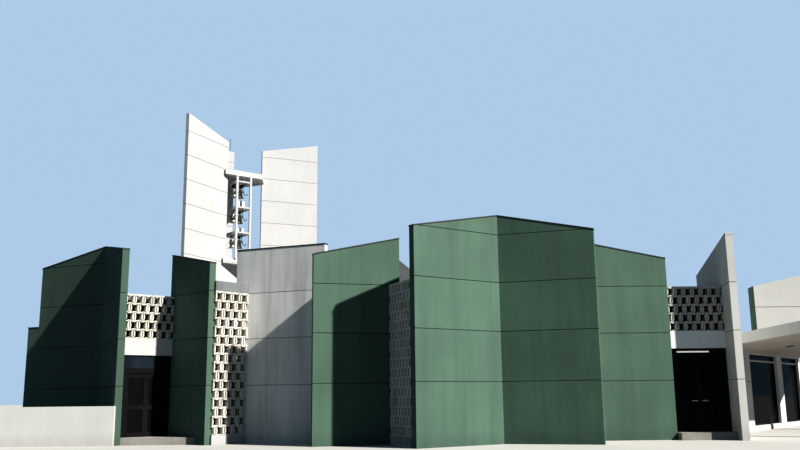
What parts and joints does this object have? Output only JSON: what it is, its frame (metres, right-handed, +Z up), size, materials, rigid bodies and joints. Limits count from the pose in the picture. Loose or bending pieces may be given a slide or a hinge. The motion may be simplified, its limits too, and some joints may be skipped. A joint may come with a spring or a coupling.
{
  "type": "modern church building",
  "caption": "Single-storey modern church with folded green and pale slab walls, pierced block screens, a hinged double door, a porch with an annex, and a slab tower with hung bells.",
  "frame": {"origin": "ground level under the nave floor, near the middle of the plan", "axes": "+X to the right along the entrance front, +Y to the rear, +Z up"},
  "size_m": [35.26, 36.1376, 20.32],
  "materials": {
    "green_paint": "green masonry paint on board-marked concrete, matt",
    "pale_concrete": "pale fair-faced concrete, weathered",
    "white_paint": "white masonry paint, matt",
    "block_concrete": "cast pierced blocks, grainy",
    "floor_concrete": "smooth concrete paving",
    "roof_skin": "concrete deck under grey mineral roofing sheet",
    "zinc_sheet": "standing-seam grey sheet",
    "door_paint": "near-black satin",
    "bright_steel": "brushed",
    "tinted_glass": "dark tinted",
    "bell_bronze": "weathered bell bronze"
  },
  "bodies": {
    "root": {"folded_wall_left": "green_paint", "green_wall_left": "green_paint", "green_wall_middle": "green_paint", "folded_wall_centre": "green_paint", "green_wall_right": "green_paint", "raised_wall_return": "green_paint", "pale_wall": "pale_concrete", "parapet": "pale_concrete", "right_lintel": "pale_concrete", "rear_wall": "pale_concrete", "left_side_wall": "pale_concrete", "right_side_wall": "pale_concrete", "annex_glazed_wall": "pale_concrete", "annex_back_wall": "pale_concrete", "entrance_fin": "white_paint", "left_lintel": "white_paint", "tall_screen_plinth": "white_paint", "low_front_wall": "white_paint", "canopy_roof": "white_paint", "canopy_post_1": "white_paint", "canopy_post_2": "white_paint", "raised_wall": "white_paint", "tower_slab_front": "white_paint", "tower_slab_right": "white_paint", "tower_slab_back": "white_paint", "cage_floor": "white_paint", "cage_roof": "white_paint", "bell_cage_frame": "white_paint", "left_entrance_screen": "block_concrete", "tall_screen_left": "block_concrete", "return_screen_left": "block_concrete", "tall_screen_middle": "block_concrete", "return_screen_right": "block_concrete", "right_entrance_screen": "block_concrete", "left_side_wall_screen_1": "block_concrete", "left_side_wall_screen_2": "block_concrete", "rear_wall_screen_1": "block_concrete", "rear_wall_screen_2": "block_concrete", "right_side_wall_screen_1": "block_concrete", "nave_floor": "floor_concrete", "left_step": "floor_concrete", "right_step": "floor_concrete", "annex_floor": "floor_concrete", "flat_roof": "roof_skin", "roof_light": "zinc_sheet", "right_door_frame": "door_paint", "left_door_panel": "door_paint", "left_doors": "door_paint", "annex_glass": "tinted_glass"},
    "right_door_left_leaf": {"right_door_leaf_left": "door_paint", "door_handle_left": "bright_steel"},
    "right_door_right_leaf": {"right_door_leaf_right": "door_paint", "door_handle_right": "bright_steel"},
    "swinging_bell_1": {"bell_1": "bell_bronze"},
    "swinging_bell_2": {"bell_2": "bell_bronze"},
    "swinging_bell_3": {"bell_3": "bell_bronze"},
    "swinging_bell_4": {"bell_4": "bell_bronze"},
    "swinging_bell_5": {"bell_5": "bell_bronze"},
    "swinging_bell_6": {"bell_6": "bell_bronze"}
  },
  "joints": [
    {"name": "right_door_left_leaf_swing", "type": "hinge", "parent": "root", "child": "right_door_left_leaf", "pos_m": [9.664, -9.394, 0.26], "axis": [0, 0, -1], "range_deg": [0, 90]},
    {"name": "right_door_right_leaf_swing", "type": "hinge", "parent": "root", "child": "right_door_right_leaf", "pos_m": [11.176, -9.394, 0.26], "axis": [0, 0, 1], "range_deg": [0, 90]},
    {"name": "bell_1_swing", "type": "hinge", "parent": "root", "child": "swinging_bell_1", "pos_m": [-11.83791, 19.44635, 16.55], "axis": [0.7808, 0.6248, 0], "range_deg": [-25, 25]},
    {"name": "bell_2_swing", "type": "hinge", "parent": "root", "child": "swinging_bell_2", "pos_m": [-11.4241, 19.7775, 16.55], "axis": [0.7808, 0.6248, 0], "range_deg": [-25, 25]},
    {"name": "bell_3_swing", "type": "hinge", "parent": "root", "child": "swinging_bell_3", "pos_m": [-11.83791, 19.44635, 14.7], "axis": [0.7808, 0.6248, 0], "range_deg": [-25, 25]},
    {"name": "bell_4_swing", "type": "hinge", "parent": "root", "child": "swinging_bell_4", "pos_m": [-11.4241, 19.7775, 14.7], "axis": [0.7808, 0.6248, 0], "range_deg": [-25, 25]},
    {"name": "bell_5_swing", "type": "hinge", "parent": "root", "child": "swinging_bell_5", "pos_m": [-11.83791, 19.44635, 12.9], "axis": [0.7808, 0.6248, 0], "range_deg": [-25, 25]},
    {"name": "bell_6_swing", "type": "hinge", "parent": "root", "child": "swinging_bell_6", "pos_m": [-11.4241, 19.7775, 12.9], "axis": [0.7808, 0.6248, 0], "range_deg": [-25, 25]}
  ]
}
